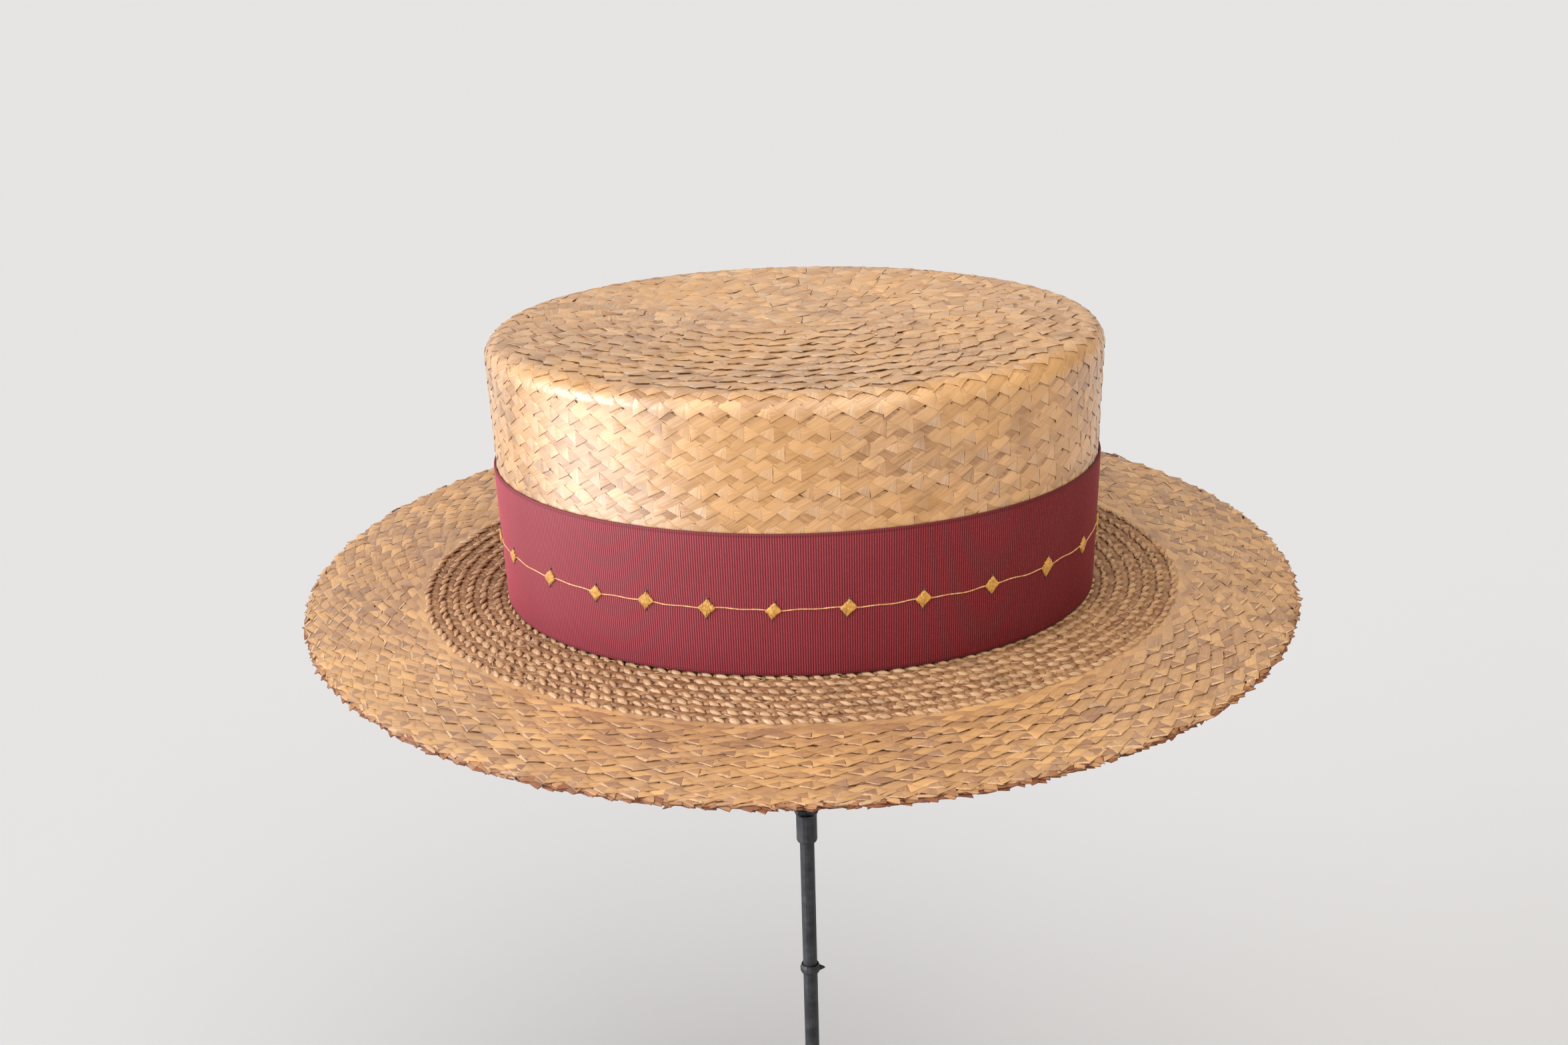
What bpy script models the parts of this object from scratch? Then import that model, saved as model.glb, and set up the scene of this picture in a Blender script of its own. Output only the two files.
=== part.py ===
"""Straw boater hat on a plain iron display stand.

Metres, +Z up. The stand's underside is on z = 0, its rod stands on the Z axis, and the front of
the hat, its long side, faces -Y. The hat is sewn straw plait on oval rings: a crown, a zone of
narrow beaded rings round its foot, a wider zone of coarse plait, and a ribbon round the crown.
"""
import math

import bmesh
import bpy

# Hat, outside sizes
HAT_FOOT = 0.300            # height of the crown's foot above the surface the stand is on
CROWN_A = 0.100             # half the crown's length at its foot, along X
CROWN_B = 0.084             # half the crown's width at its foot, along Y
CROWN_FLARE = 0.0035        # how far the wall leans out by the top
CROWN_HEIGHT = 0.092
CROWN_EDGE = 0.006          # radius of the rounded top edge
TIP_DISH = 0.001            # how far the middle of the tip lies below its rim
STRAW_WALL = 0.002
PLAIT_WALL = 0.0025         # the coarse plait of the brim is doubled at its edge
BRIM_WIDTH = 0.0707
BRIM_PITCH = 0.010          # the front edge hangs this far below the foot, the back edge above it
BRIM_RISE = 0.001           # the whole edge lies this far higher than the foot
BRIM_ARCH = 0.0018          # the brim bulges up this much halfway out
BRIM_ROUND = 0.0012         # drop of the top's edge at the very outside
RING_ZONE_START = 0.0015    # from the crown's wall to the first beaded ring
RING_PITCH = 0.0047
RING_COUNT = 6
RING_RELIEF = 0.0011        # from the valley between two rings to their crests

# Ribbon
BAND_LOW = 0.001            # above the crown's foot
BAND_HIGH = 0.0487
BAND_WALL = 0.001

# Stand
BASE_R = 0.075
BASE_EDGE_H = 0.006
BASE_SLOPE = 0.003          # the base rises this much from its edge to its boss
BASE_ROUND = 0.002
BOSS_R = 0.009
BOSS_H = 0.016
ROD_R = 0.00265
PIN_R = 0.00245
COLLAR_R = 0.0038
COLLAR_FLARE_R = 0.0046
COLLAR_LOW = 0.1980
COLLAR_HIGH = 0.2110
COLLAR_NOTCH = 0.0016
COLLAR_LIP = 0.0012
ROD_TOP = 0.2035
KNUCKLE_Z = 0.1450
KNUCKLE_H = 0.0034
KNUCKLE_R = 0.0037
KNUCKLE_LOBE = 0.0022
LOBE_SUNK = 0.0004          # how far the lobe's root reaches into the ring
PLATE_R = 0.040
PLATE_WALL = 0.003
PLATE_BOSS_R = 0.007
PLATE_BOSS_H = 0.012
SOCKET_DEPTH = 0.008

CLEARANCE = 0.0003          # between pieces that meet
SEGMENTS = 72               # round the hat's ovals
BASE_SIDES = 40
ROD_SIDES = 16

STRAW = ((0.62, 0.40, 0.19), 0.45, 0.0)
PLAIN_STRAW = ((0.50, 0.30, 0.14), 0.55, 0.0)
RIBBON = ((0.19, 0.025, 0.05), 0.70, 0.0)
IRON = ((0.03, 0.03, 0.032), 0.50, 0.85)


def start_scene():
    """Empty the scene and return the collections for the parts and for the cutters."""
    for old in list(bpy.data.objects):
        bpy.data.objects.remove(old, do_unlink=True)
    made = []
    for name in ("straw_hat_on_stand", "cutters"):
        collection = bpy.data.collections.new(name)
        bpy.context.scene.collection.children.link(collection)
        made.append(collection)
    return made


PARTS, CUTTERS = start_scene()


def add_object(name, mesh, finish=None):
    """Link a mesh as a part with its own material, or as a hidden cutter when it has no finish."""
    obj = bpy.data.objects.new(name, mesh)
    if finish is None:
        CUTTERS.objects.link(obj)
        obj.hide_render = True
        obj.display_type = "WIRE"
        return obj
    PARTS.objects.link(obj)
    colour, roughness, metallic = finish
    material = bpy.data.materials.new(name + "_finish")
    material.use_nodes = True
    shader = material.node_tree.nodes["Principled BSDF"]
    shader.inputs["Base Color"].default_value = (*colour, 1.0)
    shader.inputs["Roughness"].default_value = roughness
    shader.inputs["Metallic"].default_value = metallic
    material.diffuse_color = (*colour, 1.0)
    mesh.materials.append(material)
    return obj


def smooth(mesh):
    mesh.shade_smooth()
    mesh.set_sharp_from_angle(angle=math.radians(35))


def oval_sheet(name, rows, wall, finish, centre=None):
    """Loft an open sheet through oval rows (half length, half width, height) and give it a wall.

    A height is a number or a function of the angle round the oval. The rows run from the foot
    up or from the outside in, so that the sheet's faces point out of the hat, and the wall goes
    behind them. A centre height closes the last row.
    """
    bm = bmesh.new()
    rings = []
    for half_a, half_b, height in rows:
        ring = []
        for step in range(SEGMENTS):
            angle = 2 * math.pi * step / SEGMENTS
            z = height(angle) if callable(height) else height
            ring.append(bm.verts.new((half_a * math.cos(angle), half_b * math.sin(angle), z)))
        rings.append(ring)
    for lower, upper in zip(rings, rings[1:]):
        for step in range(SEGMENTS):
            after = (step + 1) % SEGMENTS
            bm.faces.new((lower[step], lower[after], upper[after], upper[step]))
    if centre is not None:
        middle = bm.verts.new((0, 0, centre))
        for step in range(SEGMENTS):
            bm.faces.new((rings[-1][step], rings[-1][(step + 1) % SEGMENTS], middle))
    mesh = bpy.data.meshes.new(name)
    bm.to_mesh(mesh)
    bm.free()
    smooth(mesh)
    obj = add_object(name, mesh, finish)
    shell = obj.modifiers.new("wall", "SOLIDIFY")
    shell.thickness = wall
    shell.offset = -1
    shell.use_even_offset = True
    return obj


def turned(name, profile, sides, finish, closed=False):
    """Turn a profile of (radius, height) points about the Z axis."""
    edges = [(i, i + 1) for i in range(len(profile) - 1)]
    if closed:
        edges.append((len(profile) - 1, 0))
    mesh = bpy.data.meshes.new(name)
    mesh.from_pydata([(radius, 0, z) for radius, z in profile], edges, [])
    obj = add_object(name, mesh, finish)
    screw = obj.modifiers.new("turn", "SCREW")
    screw.axis = "Z"
    screw.steps = sides
    screw.render_steps = sides
    screw.use_merge_vertices = True
    screw.merge_threshold = 0.00001
    screw.use_smooth_shade = True
    return obj


def boolean(obj, other, operation):
    cut = obj.modifiers.new(other.name, "BOOLEAN")
    cut.operation = operation
    cut.object = other


def crown_half_axes(height):
    """Outside half axes of the crown's wall at a height above its foot."""
    lean = CROWN_FLARE * height / CROWN_HEIGHT
    return CROWN_A + lean, CROWN_B + lean


def make_crown():
    rows = []
    wall_top = CROWN_HEIGHT - CROWN_EDGE
    wall_bands = 4
    for step in range(wall_bands + 1):
        height = wall_top * step / wall_bands
        half_a, half_b = crown_half_axes(height)
        rows.append((half_a, half_b, HAT_FOOT + height))
    top_a, top_b = crown_half_axes(wall_top)
    edge_bands = 3
    for step in range(1, edge_bands + 1):
        turn = math.pi / 2 * step / edge_bands
        inset = CROWN_EDGE * (1 - math.cos(turn))
        height = wall_top + CROWN_EDGE * math.sin(turn)
        rows.append((top_a - inset, top_b - inset, HAT_FOOT + height))
    rim_a, rim_b = top_a - CROWN_EDGE, top_b - CROWN_EDGE
    # share of the rim's half axes, share of the dish's depth
    for reach, depth in ((0.88, 0.15), (0.70, 0.65), (0.50, 1.0)):
        rows.append((rim_a * reach, rim_b * reach, HAT_FOOT + CROWN_HEIGHT - TIP_DISH * depth))
    oval_sheet("crown", rows, STRAW_WALL, STRAW, centre=HAT_FOOT + CROWN_HEIGHT - TIP_DISH)


def brim_height(offset, relief=0.0):
    """Top of the brim at a distance out from the crown's foot, as a function of the angle."""
    share = max(offset, 0.0) / BRIM_WIDTH
    low = HAT_FOOT - CLEARANCE + relief + BRIM_ARCH * math.sin(math.pi * share)

    def height(angle):
        return low + share * (BRIM_RISE + BRIM_PITCH * math.sin(angle))
    return height


def brim_row(offset, relief=0.0):
    return CROWN_A + offset, CROWN_B + offset, brim_height(offset, relief)


def make_brim_rings():
    rows = [brim_row(-STRAW_WALL), brim_row(RING_ZONE_START)]
    for ring in range(RING_COUNT):
        inner = RING_ZONE_START + ring * RING_PITCH
        rows.append(brim_row(inner + RING_PITCH / 2, RING_RELIEF / 2))
        rows.append(brim_row(inner + RING_PITCH, -RING_RELIEF / 2))
    rows.reverse()
    oval_sheet("brim_rings", rows, STRAW_WALL, PLAIN_STRAW)


def make_brim_plait():
    inner = RING_ZONE_START + RING_COUNT * RING_PITCH + CLEARANCE
    span = BRIM_WIDTH - inner
    rows = [brim_row(inner, -RING_RELIEF / 2), brim_row(inner + span * 0.06, RING_RELIEF / 2)]
    for share in (0.35, 0.65, 0.93):
        rows.append(brim_row(inner + span * share, RING_RELIEF / 2))
    rows.append(brim_row(BRIM_WIDTH, RING_RELIEF / 2 - BRIM_ROUND))
    rows.reverse()
    oval_sheet("brim_plait", rows, PLAIT_WALL, STRAW)


def make_hat_band():
    rows = []
    for height in (BAND_LOW, (BAND_LOW + BAND_HIGH) / 2, BAND_HIGH):
        half_a, half_b = crown_half_axes(height)
        out = CLEARANCE + BAND_WALL
        rows.append((half_a + out, half_b + out, HAT_FOOT + height))
    oval_sheet("hat_band", rows, BAND_WALL, RIBBON)


def make_base():
    base_top = BASE_EDGE_H + BASE_SLOPE
    socket_r = ROD_R + CLEARANCE
    profile = [
        (0, BOSS_H - SOCKET_DEPTH),
        (socket_r, BOSS_H - SOCKET_DEPTH),
        (socket_r, BOSS_H),
        (BOSS_R - BASE_ROUND, BOSS_H),
        (BOSS_R, BOSS_H - BASE_ROUND),
        (BOSS_R, base_top),
        (BASE_R - BASE_ROUND, BASE_EDGE_H),
        (BASE_R - BASE_ROUND * 0.3, BASE_EDGE_H - BASE_ROUND * 0.3),
        (BASE_R, BASE_EDGE_H - BASE_ROUND),
        (BASE_R, 0),
        (0, 0),
    ]
    turned("stand_base", profile, BASE_SIDES, IRON)


def make_rod():
    low = BOSS_H - SOCKET_DEPTH + CLEARANCE
    turned("stand_rod", [(0, ROD_TOP), (ROD_R, ROD_TOP), (ROD_R, low), (0, low)], ROD_SIDES, IRON)


def make_knuckle():
    """A ring on the rod with a small pointed lobe to the right."""
    bore = ROD_R + CLEARANCE
    half = KNUCKLE_H / 2
    profile = [
        (bore, KNUCKLE_Z + half),
        (ROD_R + (KNUCKLE_R - ROD_R) * 0.6, KNUCKLE_Z + half),
        (KNUCKLE_R, KNUCKLE_Z + half * 0.3),
        (KNUCKLE_R, KNUCKLE_Z - half * 0.5),
        (ROD_R + (KNUCKLE_R - ROD_R) * 0.6, KNUCKLE_Z - half),
        (bore, KNUCKLE_Z - half),
    ]
    ring = turned("stand_knuckle", profile, ROD_SIDES, IRON, closed=True)
    bm = bmesh.new()
    bmesh.ops.create_cone(bm, cap_ends=True, segments=8, radius1=half * 0.75,
                          radius2=half * 0.15, depth=KNUCKLE_LOBE)
    mesh = bpy.data.meshes.new("knuckle_lobe")
    bm.to_mesh(mesh)
    bm.free()
    lobe = add_object("knuckle_lobe", mesh)
    lobe.rotation_euler = (0, math.pi / 2, 0)
    lobe.location = (KNUCKLE_R - LOBE_SUNK + KNUCKLE_LOBE / 2, 0, KNUCKLE_Z - half * 0.1)
    boolean(ring, lobe, "UNION")


def make_collar():
    """The tube that joins rod and pin, with a flared rim that is notched on both sides."""
    bore = ROD_R + CLEARANCE
    profile = [
        (bore, COLLAR_HIGH),
        (COLLAR_FLARE_R - COLLAR_LIP / 4, COLLAR_HIGH),
        (COLLAR_FLARE_R, COLLAR_HIGH - COLLAR_LIP / 2),
        (COLLAR_R, COLLAR_HIGH - 2 * COLLAR_LIP),
        (COLLAR_R, COLLAR_LOW + COLLAR_LIP / 2),
        (COLLAR_R - COLLAR_LIP / 4, COLLAR_LOW),
        (bore, COLLAR_LOW),
    ]
    collar = turned("stand_collar", profile, ROD_SIDES, IRON, closed=True)
    for name, side in (("notch_right", 1), ("notch_left", -1)):
        bm = bmesh.new()
        bmesh.ops.create_cube(bm, size=2 * COLLAR_NOTCH)
        mesh = bpy.data.meshes.new(name)
        bm.to_mesh(mesh)
        bm.free()
        notch = add_object(name, mesh)
        notch.location = (side * COLLAR_FLARE_R * 0.35, -COLLAR_FLARE_R, COLLAR_HIGH)
        boolean(collar, notch, "DIFFERENCE")


def make_pin_and_plate():
    """The thin upper pin and the plate that carries the hat under the middle of its tip."""
    top = HAT_FOOT + CROWN_HEIGHT - TIP_DISH - STRAW_WALL - CLEARANCE
    edge = PLATE_WALL / 4
    boss_low = top - PLATE_BOSS_H
    socket_r = PIN_R + CLEARANCE
    socket_top = boss_low + SOCKET_DEPTH
    profile = [
        (0, top),
        (PLATE_R - edge, top),
        (PLATE_R, top - edge),
        (PLATE_R, top - PLATE_WALL + edge),
        (PLATE_R - edge, top - PLATE_WALL),
        (PLATE_BOSS_R, top - PLATE_WALL),
        (PLATE_BOSS_R, boss_low),
        (socket_r, boss_low),
        (socket_r, socket_top),
        (0, socket_top),
    ]
    turned("stand_plate", profile, BASE_SIDES, IRON)
    low = ROD_TOP + CLEARANCE
    high = socket_top - CLEARANCE
    turned("stand_pin", [(0, high), (PIN_R, high), (PIN_R, low), (0, low)], ROD_SIDES, IRON)


make_crown()
make_brim_rings()
make_brim_plait()
make_hat_band()
make_base()
make_rod()
make_knuckle()
make_collar()
make_pin_and_plate()
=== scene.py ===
"""Looks of a straw boater hat on its stand.

The straw is plait, laid row by row as joined meshes of small bent patches over a thin closed
sheet. The ribbon is a ribbed sheet of cloth with stitching on it. Lengths are in metres.
"""
import math

import bmesh
import bpy
import numpy as np
from mathutils import Matrix, Vector


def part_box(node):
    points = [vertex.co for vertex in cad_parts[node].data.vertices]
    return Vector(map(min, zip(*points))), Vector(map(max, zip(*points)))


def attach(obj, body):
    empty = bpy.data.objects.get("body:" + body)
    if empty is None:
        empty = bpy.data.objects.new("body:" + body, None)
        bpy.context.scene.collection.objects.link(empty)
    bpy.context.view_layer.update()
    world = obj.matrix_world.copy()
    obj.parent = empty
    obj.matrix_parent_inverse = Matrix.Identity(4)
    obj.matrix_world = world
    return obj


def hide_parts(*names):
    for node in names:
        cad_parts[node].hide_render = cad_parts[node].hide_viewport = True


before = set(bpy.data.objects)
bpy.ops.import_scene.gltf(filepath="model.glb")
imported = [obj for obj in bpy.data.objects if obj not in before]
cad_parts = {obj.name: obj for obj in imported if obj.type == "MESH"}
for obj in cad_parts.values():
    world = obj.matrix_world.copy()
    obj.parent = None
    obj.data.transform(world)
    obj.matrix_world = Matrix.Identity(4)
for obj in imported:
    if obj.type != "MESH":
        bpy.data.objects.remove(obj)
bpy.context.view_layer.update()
RNG = np.random.default_rng(11)

# The hat's sizes, from the frame's boxes or as in the CAD source
CROWN_LOW, CROWN_HIGH = (Vector(corner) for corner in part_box("crown"))
BAND_BOX_LOW, BAND_BOX_HIGH = (Vector(corner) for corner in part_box("hat_band"))
BRIM_HIGH = Vector(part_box("brim_plait")[1])
FOOT_Z = CROWN_LOW.z
HEIGHT = CROWN_HIGH.z - FOOT_Z
CROWN_FLARE = 0.0035
EDGE_R = 0.006
TIP_DISH = 0.001
DISH_SLOPE = 0.50         # the dish deepens over this share of the tip's half width
WALL = 0.002
FLARE_AT_WALL_TOP = CROWN_FLARE * (HEIGHT - EDGE_R) / HEIGHT
FOOT_A = CROWN_HIGH.x - FLARE_AT_WALL_TOP
FOOT_B = CROWN_HIGH.y - FLARE_AT_WALL_TOP
BRIM_WIDTH = BRIM_HIGH.x - FOOT_A
BRIM_PITCH = 0.010        # the brim's front edge lies this much lower than its sides
BRIM_RISE = 0.001
BRIM_ARCH = 0.0018
RINGS_START = 0.0015
RING_PITCH = 0.0047
RING_COUNT = 6
PLAIT_START = RINGS_START + RING_COUNT * RING_PITCH
BAND_LOW = BAND_BOX_LOW.z - FOOT_Z
BAND_HIGH = BAND_BOX_HIGH.z - FOOT_Z

# The plait: a pitch is the height of a row that shows, a period the length from fold to fold
SIDE_PITCH = 0.0064
SIDE_PERIOD = 0.0086
SIDE_TOP_INSET = 0.0045   # the side's top row starts this far below the tip
UNDER_RIBBON = 0.0085     # the side's rows go on for about this much behind the ribbon
TIP_PITCH = 0.0077
TIP_PERIOD = 0.0095
TIP_HOLE = 0.001          # half width of the middle, which no row covers
INSIDE_START = 0.002
BRIM_PERIOD = 0.0096
BRIM_FIRST_EDGE = 0.0385  # the outer edge of the coarse plait's first row
BRIM_ROW_PITCH = 0.00487
BRIM_ROWS = 7             # and then one more row, at the very edge
BRIM_LAST_INSET = 0.0007  # that last row ends this far inside the brim's edge
BRIM_FILL_INSET = 0.0034  # the foldless strip ends this far inside the first row's edge
UNDER_INSET = 0.0026      # the underside's first row ends this far inside the brim's edge
EDGE_PERIOD = BRIM_PERIOD * 0.6
CURL_PERIOD = BRIM_PERIOD * 0.7
CURL_INSET = 0.0006
BEAD_PERIOD = 0.0050
PLAIT_LIFT = -0.0004      # height of a plait's plane over the hat's outside
FILL_LIFT = PLAIT_LIFT - 0.00015
BEAD_SLIVER_LIFT = 0.0004

# The patches of straw that make up a plait
SKIRT_OVER = 0.03         # a patch's skirt reaches this share of its size past it
SHAKE_ALONG = 0.6         # its corners move by this share along the row of what they move across
TONE_SPREAD = 0.50
PALE_SPREAD = 0.15
HEIGHT_SPREAD = 0.00005
GRAIN_STARTS = 5          # each patch takes its grain from somewhere in a field this large

# The closed sheet under the plait
BACKING_SINK = 0.0005     # it lies this far inside the hat's outside
BACKING_WALL = 0.0008     # its own thickness
BACKING_SIDES = 160
BACKING_BELOW = 0.0010    # the crown's sheet starts this far below its foot
BACKING_HOLE = 0.0015     # half width of the flat face that closes it in the tip's middle
BACKING_INSET = 0.0018    # the brim's sheet ends this far inside the brim's edge
# Rows of points up the crown's wall, over its rounded edge, over the tip, and out on the brim
BACKING_WALL_ROWS, BACKING_ROUND_ROWS, BACKING_TIP_ROWS = 10, 7, 16
BACKING_RING_ROWS, BACKING_PLAIT_ROWS = 12, 14

# The ribbon and the gold stitching on it
RIB_PITCH = 0.00078
POINTS_PER_RIB = 4
RIB_HEIGHT = 0.00018
SELVEDGE = 0.0010
RIBBON_OUT = 0.0010       # the ribbon's face stands this far off the crown
RIBBON_WALL = 0.0006
LAP_START, LAP_END = 0.016, 0.002  # the lapped end's distances from the back's middle
STITCH_HEIGHT = 0.0237    # over the crown's foot
STITCH_PULL = 0.0016      # the thread pulls at the ribs for about this far above and below it
THREAD_R = 0.00021
THREAD_TWIST = 0.0011
THREAD_POINTS = 900
# Places of the diamonds that show, as lengths along the ribbon from the middle of its front
DIAMOND_PLACES = (-0.1348, -0.1145, -0.0896, -0.0688, -0.0499, -0.0295, -0.0086,
                  0.0147, 0.0388, 0.0634, 0.0879, 0.1115, 0.1340)
HIDDEN_DIAMONDS = 13      # evenly spaced round the back
DIAMOND_HALF_WIDE = 0.0025
DIAMOND_HALF_HIGH = 0.0032
DIAMOND_STRANDS = 11
STRAND_R = 0.00035
KNOT_R = 0.00040
KNOT_HALF_LONG = 0.00045

UPRIGHT = np.array([0.0, 0.0, 1.0])


def oval_angles(half_a, half_b, count):
    """A function from a place, counted in steps of equal length round an oval, to its angle."""
    angle = np.linspace(0, 2 * math.pi, 2049)
    speed = np.hypot(half_a * np.sin(angle), half_b * np.cos(angle))
    run = np.concatenate([[0], np.cumsum((speed[1:] + speed[:-1]) / 2)])
    run /= run[-1]

    def angle_at(place):
        turns = np.floor(place / count)
        return np.interp(place / count - turns, run, angle) + 2 * math.pi * turns
    return angle_at


def oval_length(half_a, half_b):
    """Ramanujan's formula."""
    h = ((half_a - half_b) / (half_a + half_b)) ** 2
    return math.pi * (half_a + half_b) * (1 + 3 * h / (10 + math.sqrt(4 - 3 * h)))


class Crown:
    """The crown's outside. reach is the distance along its profile from the foot to the middle."""
    wall_run = HEIGHT - EDGE_R
    rim = wall_run + EDGE_R * math.pi / 2
    rim_b = FOOT_B + FLARE_AT_WALL_TOP - EDGE_R

    @classmethod
    def profile(cls, reach):
        """Half axes and height at a reach."""
        reach = np.asarray(reach, float)
        up = np.clip(reach, 0, cls.wall_run)
        turn = np.clip((reach - cls.wall_run) / EDGE_R, 0, math.pi / 2)
        inward = np.clip(reach - cls.rim, 0, cls.rim_b)
        inset = EDGE_R * (1 - np.cos(turn)) + inward
        lean = CROWN_FLARE * up / HEIGHT
        dish = np.clip(inward / (cls.rim_b * DISH_SLOPE), 0, 1)
        sunk = TIP_DISH * dish * dish * (3 - 2 * dish)
        height = FOOT_Z + np.minimum(reach, cls.wall_run) + EDGE_R * np.sin(turn) - sunk
        return FOOT_A + lean - inset, FOOT_B + lean - inset, height

    @classmethod
    def point(cls, angle, reach):
        half_a, half_b, height = cls.profile(reach)
        return np.stack([half_a * np.cos(angle), half_b * np.sin(angle), height], -1)


class Brim:
    """The brim's top. reach is the distance out from the crown's foot."""
    drop = 0.0

    @classmethod
    def profile(cls, reach):
        return FOOT_A + reach, FOOT_B + reach, None

    @classmethod
    def point(cls, angle, reach):
        share = np.clip(reach, 0, None) / BRIM_WIDTH
        height = FOOT_Z - cls.drop + share * (BRIM_RISE + BRIM_PITCH * np.sin(angle))
        height = height + BRIM_ARCH * np.sin(math.pi * np.clip(share, 0, 1))
        return np.stack([(FOOT_A + reach) * np.cos(angle), (FOOT_B + reach) * np.sin(angle),
                         height], -1)


class BrimUnder(Brim):
    """The brim's underside, where its own plait is laid."""
    drop = BACKING_SINK + BACKING_WALL


def normals(surface, angle, reach, flip):
    """Unit normals of a surface, from small steps along it, and upright where it has none."""
    step_angle, step_reach, smallest = 1e-3, 1e-5, 1e-12
    along = surface.point(angle + step_angle, reach) - surface.point(angle - step_angle, reach)
    across = surface.point(angle, reach + step_reach) - surface.point(angle, reach - step_reach)
    normal = np.cross(along, across) * flip
    size = np.linalg.norm(normal, axis=-1, keepdims=True)
    return np.where(size > smallest, normal / np.maximum(size, smallest), UPRIGHT)


class CrownInside(Crown):
    """The crown's inner side: the outside moved in by the backing sheet."""

    @classmethod
    def point(cls, angle, reach):
        inward = normals(Crown, angle, reach, 1) * (BACKING_SINK + BACKING_WALL)
        return Crown.point(angle, reach) - inward


def patch_lines(steps, crisp):
    """A patch's grid lines from 0 to 1 each way, with a skirt round them and, if crisp, a seam."""
    lines = []
    for count in steps:
        seam = [1.0] * crisp
        lines.append(np.concatenate([[-SKIRT_OVER], np.multiply(seam, 0),
                                     np.linspace(0, 1, count + 1), seam, [1 + SKIRT_OVER]]))
    return lines


def drawn_in(first, second, rounding):
    """A grid coordinate, drawn to the patch's middle where the other one is far from it."""
    share = np.clip(1 - rounding * (2 * second - 1) ** 2 / 2, 0, 1)
    return 0.5 + (2 * first - 1) / 2 * np.sqrt(share)


def pillow(u, v):
    """Height of a cushion that is 1 in a patch's middle and 0 along its sides."""
    u, v = np.clip(u, 0, 1), np.clip(v, 0, 1)
    return (1 - np.abs(2 * u - 1) ** 2.5) * (1 - np.abs(2 * v - 1) ** 2.2)


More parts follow.
